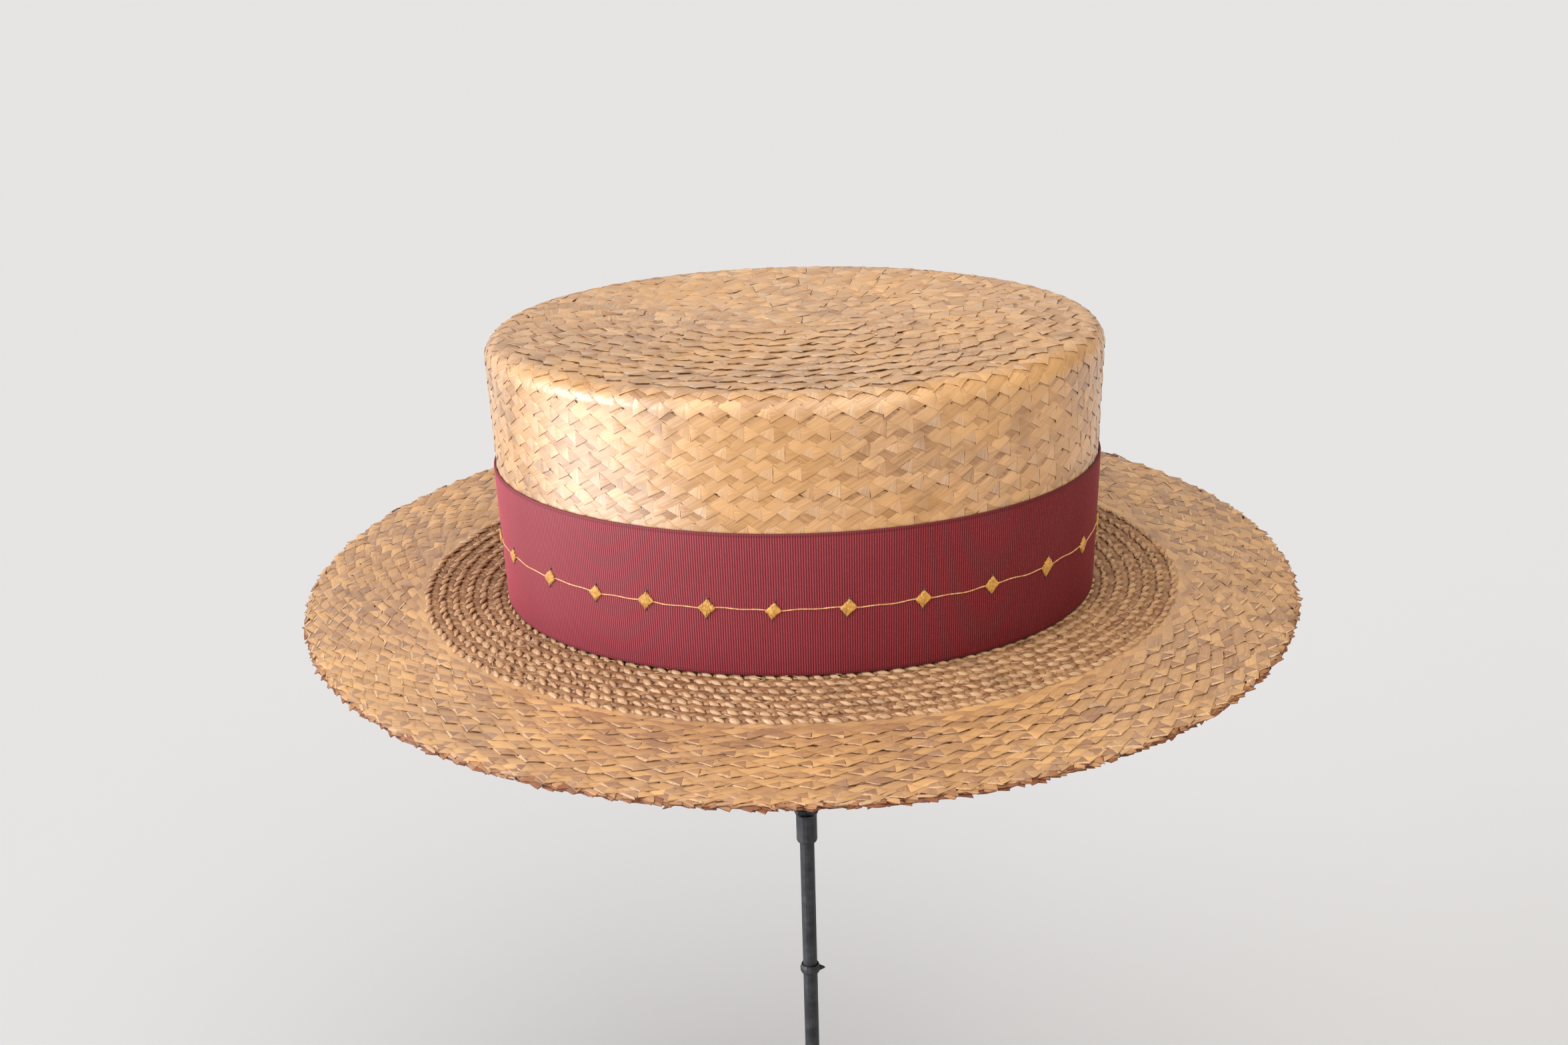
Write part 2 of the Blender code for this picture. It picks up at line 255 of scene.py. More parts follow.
class Weave:
    """Collects small raised patches of straw on a surface and makes one mesh of them.

    flip is 1 where reach grows so that angle x reach points out of the hat, and -1 elsewhere.
    A crisp patch meets its skirt in a seam, so that its shading stays flat up to its edge.
    """

    def __init__(self, surface, flip=1, crisp=True):
        self.surface = surface
        self.flip = flip
        self.crisp = crisp
        self.points, self.faces, self.grain, self.tone, self.pale, self.rim = [], [], [], [], [], []
        self.count = 0

    def row(self, reach, pitch, period):
        """Set the row that the next patches lie on: its outer edge, and its pitch with a sign."""
        half_a, half_b, _ = self.surface.profile(reach + pitch / 2)
        half_a, half_b = float(half_a), float(half_b)
        around = oval_length(half_a, half_b)
        self.cells = max(6, int(round(around / period)))
        self.angle_at = oval_angles(half_a, half_b, self.cells)
        self.reach, self.pitch, self.phase = reach, pitch, RNG.uniform(0, 1)
        self.period = around / self.cells

    def lay(self, corners, steps=(3, 3), bulge=0.0002, skirt=0.0004, tone=0.0, pale=0.0,
            shake=0.04, stray=0.0, rounding=0.0, wobble=HEIGHT_SPREAD, keep=None):
        """Lay one patch in every cell of the row, or in the cells that keep marks.

        corners are four (place along the row in periods, place across in pitches, height), in
        order round the patch, and the first side runs along the straw. shake moves each corner
        by itself and stray the whole patch. rounding 1 draws the corners in to an oval.
        """
        cells = np.arange(self.cells)
        if keep is not None:
            cells = cells[keep]
        number = len(cells)
        four = np.tile(np.array(corners, float), (number, 1, 1))
        shift = RNG.normal(0, shake, (number, 4)) * SHAKE_ALONG
        four[..., 0] += shift + cells[:, None] + self.phase
        four[..., 1] += RNG.normal(0, shake, (number, 4))
        four[..., :2] += RNG.normal(0, stray, (number, 1, 2))
        four[..., 2] += RNG.normal(0, wobble, (number, 1))
        lines = patch_lines(steps, self.crisp)
        u, v = np.meshgrid(*lines, indexing="ij")
        bent_u, bent_v = drawn_in(u, v, rounding), drawn_in(v, u, rounding)
        weights = np.stack([(1 - bent_u) * (1 - bent_v), bent_u * (1 - bent_v),
                            bent_u * bent_v, (1 - bent_u) * bent_v], -1)
        local = np.einsum("abk,nkc->nabc", weights, four)
        outer = (u < 0) | (u > 1) | (v < 0) | (v > 1)
        local[..., 2] += bulge * pillow(u, v) - skirt * outer
        # the skirts take painted shade, and a crisp patch's seam points take it too
        if self.crisp:        # the seam's outer points are dark too
            outer[[1, -2]] = True
            outer[:, [1, -2]] = True
        self.points.append(self.placed(local))
        self.faces.append(self.quads(number, lines))
        self.grain.append(self.grain_places(four, u, v))
        shade = tone + RNG.normal(0, TONE_SPREAD, (number, 1, 1))
        light = np.clip(pale + RNG.normal(0, PALE_SPREAD, (number, 1, 1)) * (pale > 0), 0, 1)
        for kept, values in ((self.tone, shade), (self.pale, light), (self.rim, outer * 1.0)):
            kept.append(np.broadcast_to(values, (number, *u.shape)).reshape(-1))
        self.count += number * u.size

    def placed(self, local):
        """Points on the surface, from places along and across the row and heights over it."""
        angle = self.angle_at(local[..., 0])
        reach = self.reach + self.pitch * local[..., 1]
        out = normals(self.surface, angle, reach, self.flip) * local[..., 2:3]
        return (self.surface.point(angle, reach) + out).reshape(-1, 3)

    def quads(self, number, lines):
        """The faces of a number of patches, without those that a seam has no width for."""
        rows, columns = (len(line) for line in lines)
        index = np.arange(number * rows * columns).reshape(number, rows, columns) + self.count
        quads = np.stack([index[:, :-1, :-1], index[:, 1:, :-1], index[:, 1:, 1:],
                          index[:, :-1, 1:]], -1)
        open_strips = np.ix_(*(np.flatnonzero(np.diff(line) > 0) for line in lines))
        quads = quads[(slice(None), *open_strips)]
        return (quads[..., ::-1] if self.flip * self.pitch < 0 else quads).reshape(-1, 4)

    def grain_places(self, four, u, v):
        """Places in the grain's own field, in metres along and across the straw."""
        edges, sides = four[:, 1] - four[:, 0], four[:, 3] - four[:, 0]
        length = np.hypot(edges[:, 0] * self.period, edges[:, 1] * self.pitch)
        width = np.hypot(sides[:, 0] * self.period, sides[:, 1] * self.pitch)
        start = RNG.uniform(0, GRAIN_STARTS, (len(four), 2))[:, :, None, None]
        return np.stack([start[:, 0] + u * length[:, None, None],
                         start[:, 1] + v * width[:, None, None]], -1).reshape(-1, 2)

    def mesh(self, name):
        points = np.concatenate(self.points)
        faces = np.concatenate(self.faces)
        mesh = new_mesh(name, points, faces)
        uv = mesh.uv_layers.new(name="grain")
        uv.data.foreach_set("uv", np.concatenate(self.grain)[faces.ravel()].ravel())
        for key, values in (("tone", self.tone), ("pale", self.pale), ("rim", self.rim)):
            add_values(mesh, key, np.concatenate(values))
        return mesh


def add_values(mesh, key, values):
    """A number for each point, which a material reads by its key."""
    attribute = mesh.attributes.new(key, "FLOAT", "POINT")
    attribute.data.foreach_set("value", values.astype(np.float32))


def new_mesh(name, points, faces):
    """A smooth mesh from arrays of points and of faces that all have the same number of corners."""
    corners = faces.shape[1]
    mesh = bpy.data.meshes.new(name)
    mesh.vertices.add(len(points))
    mesh.vertices.foreach_set("co", np.asarray(points, np.float32).ravel())
    mesh.loops.add(faces.size)
    mesh.loops.foreach_set("vertex_index", faces.astype(np.int32).ravel())
    mesh.polygons.add(len(faces))
    mesh.polygons.foreach_set("loop_start", np.arange(0, faces.size, corners, dtype=np.int32))
    mesh.update(calc_edges=True)
    mesh.validate()
    mesh.shade_smooth()
    return mesh


def add_object(name, data):
    thing = bpy.data.objects.new(name, data)
    bpy.context.scene.collection.objects.link(thing)
    return thing


def add_piece(name, mesh, material, slot, *replaced):
    """An object that rides on the hat's one body, in place of the CAD nodes that it replaces."""
    piece = add_object(name, mesh)
    mesh.materials.append(material)
    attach(piece, "root")
    if replaced:
        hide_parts(*replaced)
    return piece


class Nodes:
    """Short calls for building the nodes of a material or a world."""

    def __init__(self, owner):
        owner.use_nodes = True
        self.owner = owner
        self.tree = owner.node_tree

    def put(self, socket, value):
        """Join a socket to another, or set it to a plain value."""
        if isinstance(value, bpy.types.NodeSocket):
            self.tree.links.new(value, socket)
        elif socket.type == "RGBA":
            socket.default_value = (*value, 1.0)
        else:
            socket.default_value = value

    def add(self, kind, inputs, output=0, **values):
        """Add a node, join or set its inputs, and give one of its outputs."""
        node = self.tree.nodes.new(kind)
        for key, value in values.items():
            setattr(node, key, value)
        for key, value in inputs.items():
            self.put(node.inputs[key], value)
        return node.outputs[output]

    def uv(self, name):
        return self.add("ShaderNodeUVMap", {}, uv_map=name)

    def attribute(self, name):
        return self.add("ShaderNodeAttribute", {}, "Fac", attribute_name=name)

    def here(self):
        return self.add("ShaderNodeTexCoord", {}, "Object")

    def scaled(self, vector, scale):
        return self.add("ShaderNodeMapping", {"Vector": vector, "Scale": scale})

    def noise(self, vector, scale, detail=2.0, roughness=0.5):
        return self.add("ShaderNodeTexNoise", {"Vector": vector, "Scale": scale, "Detail": detail,
                                               "Roughness": roughness}, "Fac")

    def math(self, operation, *inputs):
        return self.add("ShaderNodeMath", dict(enumerate(inputs)), operation=operation)

    def spread(self, value, low, high, to_low=0.0, to_high=1.0):
        """Map low to high onto to_low to to_high, and hold the ends beyond them."""
        return self.add("ShaderNodeMapRange", {"Value": value, "From Min": low, "From Max": high,
                                               "To Min": to_low, "To Max": to_high})

    def mix(self, factor, first, second):
        return self.add("ShaderNodeMix", {0: factor, 6: first, 7: second}, 2, data_type="RGBA")

    def bump(self, height, strength, distance):
        return self.add("ShaderNodeBump", {"Strength": strength, "Distance": distance,
                                           "Height": height})

    def finish(self, **values):
        """Join or set the material's main shader's inputs, and give the material."""
        shader = self.tree.nodes["Principled BSDF"]
        for key, value in values.items():
            self.put(shader.inputs[key.replace("_", " ")], value)
        return self.owner


def new_material(name):
    return Nodes(bpy.data.materials.new(name))


# dirt, and also painted shade: the colour that darkens the gaps along the patches' skirts
STRAW_DIRT_AND_GAP_SHADE = (0.120, 0.038, 0.014)
STRAW_GOLD = (0.78, 0.40, 0.11)
STRAW_BACK_PALE = (0.72, 0.55, 0.36)
# Noise cells in a metre along and across a straw
FINE_GRAIN = (90, 5200, 1)
STREAKS = (35, 1100, 1)
SPLITS = (30, 1500, 1)
NOISE_MIDDLE = (0.3, 0.7)  # nearly all of a noise lies between these


def make_straw(name, deep, light, pale, roughness, gloss=0.0, dirt_and_gap_shade=STRAW_DIRT_AND_GAP_SHADE, outline=0.95,
               contrast=1.0, golden=0.0):
    """Straw with fine grain along each strip, a tone of its own for each, and dark edges of dirt
    and painted shade.
    """
    n = new_material(name)
    grain = n.uv("grain")
    fine = n.noise(n.scaled(grain, FINE_GRAIN), 1.0, 3.0, 0.6)
    streak = n.noise(n.scaled(grain, STREAKS), 1.0, 2.0, 0.5)
    split = n.noise(n.scaled(grain, SPLITS), 1.0, 1.0, 0.4)
    blotch = n.noise(n.here(), 55, 3.0, 0.6)
    patchy = n.noise(n.here(), 9, 2.0, 0.5)
    stain = n.noise(n.scaled(n.here(), (1, 1, 1.6)), 26, 2.0, 0.5)
    paleness = n.attribute("pale")
    # from deep to light by the patch's own tone, its grain and its place
    amount = n.math("MULTIPLY_ADD", n.attribute("tone"), 0.36, 0.5)
    for source, share in ((streak, 0.25 * contrast), (fine, 0.16 * contrast), (patchy, 0.14)):
        amount = n.math("ADD", amount, n.spread(source, *NOISE_MIDDLE, -share, share))
    body = n.mix(n.math("MINIMUM", n.math("MAXIMUM", amount, 0.0), 1.0), deep, light)
    pale_lines = n.spread(fine, 0.42, 0.58, 0.55, 1.0)
    body = n.mix(n.math("MULTIPLY", paleness, pale_lines), body, pale)
    # splits, stains, dirt, and painted shade along the patches' skirts, which fades in places
    splits = n.spread(n.math("ABSOLUTE", n.math("SUBTRACT", split, 0.5)), 0.01, 0.06, 1.0, 0.0)
    lines = n.math("MULTIPLY_ADD", paleness, 0.36 * contrast, 0.12 * contrast)
    body = n.mix(n.math("MULTIPLY", splits, lines), body, dirt_and_gap_shade)
    body = n.mix(n.spread(stain, 0.42, 0.62, 0.0, golden), body, STRAW_GOLD)
    body = n.mix(n.spread(blotch, 0.56, 0.72, 0.0, 0.30), body, dirt_and_gap_shade)
    # painted shade: the skirts' points, and so the gaps between patches, are mixed towards the dirt
    # colour
    rim = n.attribute("rim")
    marked = n.spread(n.noise(n.here(), 420, 1.0, 0.4), 0.40, 0.62, 0.12 * outline, outline)
    body = n.mix(n.math("MULTIPLY", rim, marked), body, dirt_and_gap_shade)
    relief = n.math("MULTIPLY_ADD", streak, 0.8, fine)
    relief = n.math("MULTIPLY_ADD", splits, -0.5, relief)
    varnish = n.math("MULTIPLY_ADD", blotch, 4.0, streak)
    return n.finish(Base_Color=body, IOR=1.5,
                    Roughness=n.spread(fine, *NOISE_MIDDLE, roughness - 0.07, roughness + 0.09),
                    Normal=n.bump(relief, 0.55 * contrast, 0.00012),
                    Coat_Weight=n.math("MULTIPLY_ADD", rim, -gloss, gloss), Coat_Roughness=0.34,
                    Coat_Normal=n.bump(varnish, 0.35, 0.0002))


ROW_MIDDLE = 0.00040      # height of a row's middle over the lift it is laid at
ROW_FRONT = 0.00035       # its outer edge stands this much higher
ROW_TILT = 0.00050        # and it sinks by this much a pitch inwards
FOLD_WARM = 0.1           # tone of a fold's right half
LIP_SHARE = 0.75          # share of the folds that have a lip


def lay_plait_row(weave, detail=3, lift=PLAIT_LIFT, lip=0.0, fold_pale=0.8, fold_tone=0.0, tone=0.0,
                  relief=1.0, puff=1.0, shake=0.03, skirt=0.0004, folds=True):
    """One row of flat plait: a plain weave of slanting straws, folded back along its outer edge.

    The row is a grid of rhombs one period wide and 0.8 of a pitch high. Its outer edge lies over
    the next row, and its inner edge is tucked under the row before. Where lip is set, the fold's
    left half has a pale lip that stands up along its outer edge. A row without folds only fills.
    """
    def at(across, extra=0.0):
        return lift + ROW_MIDDLE + relief * (ROW_FRONT - ROW_TILT * across + extra)

    def lay(corners, bulge, **choices):
        weave.lay(corners, choices.pop("steps", (detail, detail)), bulge=bulge * puff, shake=shake,
                  skirt=skirt, wobble=HEIGHT_SPREAD * relief, **choices)

    # straws that slant down to the right, on top in the third line; their deeper tone is partly
    # their own and partly painted shade under the folds of the row above
    lay([(-0.56, 1.24, at(1.24)), (0.08, 0.70, at(0.75, -0.00012)),
         (0.58, 1.12, at(1.1, -0.00012)), (0.02, 1.62, at(1.5))], 0.00018, tone=tone - 0.65)
    # straws that slant up to the right, on top in the second line
    lay([(0.40, 0.28, at(0.35, -0.00010)), (1.18, 0.88, at(0.95, 0.00004)),
         (0.66, 1.34, at(1.3, 0.00004)), (-0.10, 0.72, at(0.75, -0.00010))], 0.00020,
        tone=tone + 0.20)
    if not folds:
        return
    # the fold: its left half has upright grain, and its right half is warm and stands higher
    lay([(0.04, 0.03, at(0, 0.00008)), (0.02, 0.80, at(0.8, 0.00008)),
         (-0.26, 0.62, at(0.65, 0.00010)), (-0.49, 0.40, at(0.4))], 0.00010,
        tone=tone + fold_tone, pale=fold_pale)
    lay([(0.015, -0.02, at(0, 0.00022)), (0.53, 0.40, at(0.4, 0.00014)),
         (0.27, 0.62, at(0.6, 0.00008)), (0.0, 0.83, at(0.8, 0.00020))], 0.00020,
        tone=tone + FOLD_WARM)
    if lip:
        lay([(0.02, -0.04, at(0, 0.00016)), (0.02, 0.045, at(0.05, 0.00026)),
             (-0.38, 0.37, at(0.4, 0.00022)), (-0.45, 0.31, at(0.3, 0.00010))], 0.00012,
            steps=(1, detail), tone=1.2, pale=lip, keep=RNG.random(weave.cells) < LIP_SHARE)


# Loose fibres
SLIVER_LENGTH = 0.0024
SLIVER_RISE = 0.0013      # how far its end lies across the row from its start
SLIVER_WIDTH = 0.00022
SLIVER_HEIGHT = 0.00066   # over the plait's plane
SLIVER_STAND = 0.00012    # its end stands this much higher
SLIVER_PLACE = 0.60       # across the row, in pitches


def lay_slivers(weave, share, lift=PLAIT_LIFT):
    """Thin pale slips that stand a little off the row, in a share of its cells."""
    long, rise = SLIVER_LENGTH / weave.period, SLIVER_RISE / abs(weave.pitch)
    wide, low = SLIVER_WIDTH / abs(weave.pitch), lift + SLIVER_HEIGHT
    high = low + SLIVER_STAND
    for slant in (1, -1):
        kept = RNG.random(weave.cells) < share
        reach = slant * rise
        weave.lay([(0.0, SLIVER_PLACE, low), (long, SLIVER_PLACE + reach, high),
                   (long, SLIVER_PLACE + reach + wide, high), (0.0, SLIVER_PLACE + wide, low)],
                  (3, 1), bulge=0.00008, skirt=0.00012, tone=1.3, pale=0.8, shake=0.006,
                  stray=0.25, keep=kept)


# How the rows of each part look
SIDE_ROW = {"fold_pale": 0.30, "relief": 0.6, "puff": 1.0, "shake": 0.035, "skirt": 0.0003}
TIP_ROW = {"fold_pale": 0.35, "fold_tone": -0.2, "relief": 0.75, "puff": 1.6, "shake": 0.06,
           "skirt": 0.00020}
BRIM_ROW = {"lip": 0.6, "fold_pale": 0.15, "fold_tone": -1.3, "relief": 0.75, "puff": 1.6,
            "shake": 0.05, "skirt": 0.00022}


def make_crown_plait(material):
    side = Weave(Crown)
    top_row_edge = Crown.rim - SIDE_TOP_INSET
    rows = int(round((Crown.rim - BAND_HIGH + UNDER_RIBBON) / SIDE_PITCH))
    for row in range(rows, -1, -1):
        side.row(top_row_edge - row * SIDE_PITCH, SIDE_PITCH, SIDE_PERIOD)
        lay_plait_row(side, tone=RNG.normal(0, 0.12), **SIDE_ROW)
        lay_slivers(side, 0.06)
    add_piece("crown_side_plait", side.mesh("crown_side_plait"), material, "crown_straw")
    tip = Weave(Crown)
    reach = top_row_edge + SIDE_PITCH
    while Crown.profile(reach + TIP_PITCH)[1] > TIP_HOLE:
        tip.row(reach, TIP_PITCH, TIP_PERIOD)
        lay_plait_row(tip, tone=RNG.normal(-0.15, 0.12), **TIP_ROW)
        reach += TIP_PITCH
    add_piece("crown_tip_plait", tip.mesh("crown_tip_plait"), material, "crown_straw")


def make_crown_inside(material):
    """The rows' backs, which show inside the crown: plain, with no fold or fibre picked out."""
    inside = Weave(CrownInside, -1)
    reach = INSIDE_START
    while Crown.profile(reach + SIDE_PITCH)[1] > TIP_HOLE:
        inside.row(reach, SIDE_PITCH, SIDE_PERIOD)
        lay_plait_row(inside, detail=1, fold_pale=0.0, tone=-0.2)
        reach += SIDE_PITCH
    add_piece("crown_inside_plait", inside.mesh("crown_inside_plait"), material, "crown_straw")


def make_brim_plait(material):
    top = Weave(Brim, -1)
    outer_edges = [BRIM_WIDTH - BRIM_LAST_INSET]
    outer_edges += [BRIM_FIRST_EDGE + row * BRIM_ROW_PITCH for row in range(BRIM_ROWS)][::-1]
    for edge in outer_edges:
        top.row(edge, -BRIM_ROW_PITCH, BRIM_PERIOD)
        lay_plait_row(top, tone=RNG.normal(0, 0.10), **BRIM_ROW)
        lay_slivers(top, 0.10)
    # the foldless strip between the first row and the bead rings
    top.row(BRIM_FIRST_EDGE - BRIM_FILL_INSET, -BRIM_ROW_PITCH, BRIM_PERIOD)
    lay_plait_row(top, lift=FILL_LIFT, relief=0.5, skirt=BRIM_ROW["skirt"], folds=False)
    add_piece("brim_top_plait", top.mesh("brim_top_plait"), material, "brim_straw")
    under = Weave(BrimUnder)
    for row in range(int((BRIM_WIDTH + WALL) / BRIM_ROW_PITCH)):
        under.row(BRIM_WIDTH - UNDER_INSET - row * BRIM_ROW_PITCH, -BRIM_ROW_PITCH, BRIM_PERIOD)
        lay_plait_row(under, detail=1, fold_pale=0.1, fold_tone=-0.4, tone=RNG.normal(0, 0.10))
    add_piece("brim_under_plait", under.mesh("brim_under_plait"), material, "brim_straw")


# The edge's rows of folds: height, how far past the brim's edge, tone. The lower rows' darker tones
# are painted shadow under the rows above.
EDGE_ROWS = ((-0.0002, -0.0008, 0.2),
             (-0.0008, -0.0004, -0.7),
             (-0.0014, -0.0010, -1.6))
CURL_SHARE = 0.4          # share of the cells in which a straw curls up over the edge


def make_brim_edge(material):
    """The edge where the brim's top and under rows meet: short uneven folds, one below another,
    darker lower down as painted shadow.
    """
    edge = Weave(Brim, -1)
    for low, out, tone in EDGE_ROWS:
        edge.row(BRIM_WIDTH + out, -BRIM_ROW_PITCH, EDGE_PERIOD)
        edge.lay([(-0.56, 0.06, low), (0.04, -0.12, low - 0.0002),
                  (0.14, 0.30, low + 0.0004), (-0.44, 0.38, low + 0.0003)],
                 (3, 2), bulge=0.00022, skirt=0.00025, tone=tone, shake=0.10, rounding=0.15)
        edge.lay([(-0.06, -0.06, low - 0.0001), (0.54, 0.06, low - 0.0003),
                  (0.50, 0.34, low + 0.0002), (0.02, 0.28, low + 0.0003)],
                 (3, 2), bulge=0.00026, skirt=0.00025, tone=tone - 0.7, shake=0.10, rounding=0.15)
    for slant in (1, -1):
        edge.row(BRIM_WIDTH - CURL_INSET, -BRIM_ROW_PITCH, CURL_PERIOD)
        kept = RNG.random(edge.cells) < CURL_SHARE
        edge.lay([(-0.46, 0.12 - 0.12 * slant, -0.0001), (0.48, 0.10 + 0.12 * slant, 0.0),
                  (0.40, 0.28 + 0.12 * slant, 0.0004), (-0.38, 0.30 - 0.12 * slant, 0.0003)],
                 (3, 2), bulge=0.00030, skirt=0.0003, tone=0.5, pale=0.35, shake=0.08, stray=0.10,
                 rounding=0.3, keep=kept)
    add_piece("brim_edge_plait", edge.mesh("brim_edge_plait"), material, "brim_straw")


def make_bead_rings(material):
    """Rows of fancy plait whose outer edge is a raised cord of pale and brown leaves in turn."""
    beads = Weave(Brim, -1, crisp=False)
    for ring in range(RING_COUNT + 1):
        beads.row(RINGS_START + ring * RING_PITCH, -RING_PITCH, BEAD_PERIOD)
        # the flat part behind the cord: two slanting strips in each period, their red-brown
        # deepened by painted shade in the gaps between the leaves
        for start, tone in ((-0.25, -1.0), (0.25, -0.5)):
            beads.lay([(start - 0.36, 0.56, 0.00000), (start + 0.16, 0.42, 0.00005),
                       (start + 0.42, 1.02, 0.00000), (start - 0.10, 1.10, -0.00005)],
                      (2, 2), bulge=0.00018, skirt=0.0003, tone=tone, shake=0.06)
        # the cord: a brown leaf and, over its end, a longer pale one
        beads.lay([(0.28, 0.46, 0.00010), (0.42, 0.02, 0.00000), (0.84, 0.10, 0.00010),
                   (0.72, 0.50, 0.00030)], (3, 3), bulge=0.00050, tone=-0.5, shake=0.06,
                  rounding=0.7)
        beads.lay([(-0.60, 0.42, 0.00045), (-0.10, -0.04, 0.00020), (0.46, -0.10, 0.00015),
                   (0.16, 0.38, 0.00055)], (4, 3), bulge=0.00055, tone=0.7, pale=0.35, shake=0.07,
                  rounding=0.6)
        lay_slivers(beads, 0.35, lift=BEAD_SLIVER_LIFT)
    add_piece("brim_bead_rings", beads.mesh("brim_bead_rings"), material, "ring_straw")


def closed_sheet(name, surface, reaches, flip, centre=False):
    """The backing under a surface's plait: a thin closed sheet that follows the surface.

    Its first and last rows join its two sides, or a flat face closes each side in the centre.
    """
    angle = np.linspace(0, 2 * math.pi, BACKING_SIDES, endpoint=False)
    grid_angle, grid_reach = np.meshgrid(angle, np.array(reaches, float))
    place = surface.point(grid_angle, grid_reach)
    normal = normals(surface, grid_angle, grid_reach, flip)
    layers = [place + normal * offset for offset in (-BACKING_SINK, -BACKING_SINK - BACKING_WALL)]
    rows = len(reaches)
    layer_size = rows * BACKING_SIDES
    index = np.arange(layer_size).reshape(rows, BACKING_SIDES)
    after = np.roll(index, -1, axis=1)
    outside = np.stack([index[:-1], after[:-1], after[1:], index[1:]], -1).reshape(-1, 4)
    inside = outside[:, ::-1] + layer_size
    start = np.stack([index[0], index[0] + layer_size, after[0] + layer_size, after[0]], -1)
    stop = np.stack([index[-1], after[-1], after[-1] + layer_size, index[-1] + layer_size], -1)
    faces = [outside, inside, start] + [stop] * (not centre)
    if flip < 0:
        faces = [group[:, ::-1] for group in faces]
    points = np.concatenate([layer.reshape(-1, 3) for layer in layers])
    mesh = new_mesh(name, points, np.concatenate(faces))
    if centre:
        close_ring(mesh, index[-1])
        close_ring(mesh, index[-1][::-1] + layer_size)
        mesh.shade_smooth()
    return mesh


def close_ring(mesh, ring):
    """One face over a ring of points."""
    bm = bmesh.new()
    bm.from_mesh(mesh)
    bm.verts.ensure_lookup_table()
    bm.faces.new([bm.verts[int(i)] for i in ring])
    bm.to_mesh(mesh)
    bm.free()


def make_backing(crown_material, material):
    crown_end = Crown.rim + Crown.rim_b - BACKING_HOLE
    crown_rows = [*np.linspace(-BACKING_BELOW, Crown.wall_run, BACKING_WALL_ROWS),
                  *np.linspace(Crown.wall_run, Crown.rim, BACKING_ROUND_ROWS)[1:],
                  *np.linspace(Crown.rim, crown_end, BACKING_TIP_ROWS)[1:]]
    ring_rows = np.linspace(-WALL, PLAIT_START, BACKING_RING_ROWS)
    plait_rows = np.linspace(PLAIT_START, BRIM_WIDTH - BACKING_INSET, BACKING_PLAIT_ROWS)
    crown = closed_sheet("crown_shell", Crown, crown_rows, 1, centre=True)
    add_piece("crown_shell", crown, crown_material, "crown_straw", "crown")
    rings = closed_sheet("brim_ring_shell", Brim, ring_rows, -1)
    add_piece("brim_ring_shell", rings, material, "ring_straw", "brim_rings")
    plait = closed_sheet("brim_plait_shell", Brim, plait_rows, -1)
    add_piece("brim_plait_shell", plait, material, "brim_straw", "brim_plait")


def make_ribbon_material():
    """Ribbed cloth with flecks, with painted light: paler on the left and darker on the right, and
    painted shade in its grooves.
    """
    n = new_material("ribbon_ribbed")
    soft = n.noise(n.here(), 40, 2.0, 0.5)
    fleck = n.noise(n.here(), 2600, 2.0, 0.6)
    # painted light: a blend from paler on the left to darker on the right, by place along X
    painted_side_light = n.spread(n.add("ShaderNodeSeparateXYZ", {0: n.here()}, "X"), -0.085, 0.085)
    crest = n.mix(painted_side_light, (0.490, 0.068, 0.092), (0.265, 0.014, 0.017))
    crest = n.mix(n.spread(soft, *NOISE_MIDDLE, 0.0, 0.12), crest, (0.55, 0.12, 0.15))
    crest = n.mix(n.spread(fleck, 0.50, 0.75, 0.0, 0.45), crest, (0.60, 0.14, 0.17))
    # painted shade in the grooves between the ribs
    painted_groove_shade = n.mix(painted_side_light, (0.120, 0.006, 0.014), (0.062, 0.002, 0.004))
    body = n.mix(n.attribute("rib"), painted_groove_shade, crest)
    return n.finish(Base_Color=body, Roughness=0.65, Specular_IOR_Level=0.3, Sheen_Weight=0.06,
                    Sheen_Roughness=0.4, Normal=n.bump(fleck, 0.25, 0.00008))


class Ribbon:
    """The ribbon's face. A place on it is a length from the middle of the front, and a height."""
    lean = CROWN_FLARE * STITCH_HEIGHT / HEIGHT + RIBBON_OUT
    length = oval_length(FOOT_A + lean, FOOT_B + lean)
    steps = 2400
    angle_of_step = oval_angles(FOOT_A, FOOT_B, steps)
    lap = (length / 2 - LAP_START, length / 2 - LAP_END)

    @classmethod
    def point(cls, along, height, out):
        """A place that far out from the crown. Over the lapped end it lies one wall further."""
        along = np.asarray(along)
        angle = cls.angle_of_step((along / cls.length + 0.75) * cls.steps)
        on_lap = (along > cls.lap[0]) & (along < cls.lap[1])
        out = np.asarray(out) + RIBBON_WALL * on_lap
        return Crown.point(angle, height) + normals(Crown, angle, height, 1) * out[..., None]

    @classmethod
    def outward(cls, along, height, out):
        """Unit vectors that point off the ribbon."""
        ways = cls.point(along, height, out + 0.001) - cls.point(along, height, out)
        return ways / np.linalg.norm(ways, axis=1, keepdims=True)


def ribbon_heights():
    """The heights of the ribbon's rows: close at its selvedges and at the stitching."""
    step = 0.0002
    low, high = BAND_LOW + SELVEDGE, BAND_HIGH - SELVEDGE
    return np.array([BAND_LOW, BAND_LOW + step, BAND_LOW + SELVEDGE * 0.5, low,
                     *np.linspace(low + step, STITCH_HEIGHT - 0.0035, 3),
                     STITCH_HEIGHT - 0.0015, STITCH_HEIGHT, STITCH_HEIGHT + 0.0015,
                     *np.linspace(STITCH_HEIGHT + 0.0035, high - step, 3),
                     high, BAND_HIGH - SELVEDGE * 0.5, BAND_HIGH - step, BAND_HIGH])


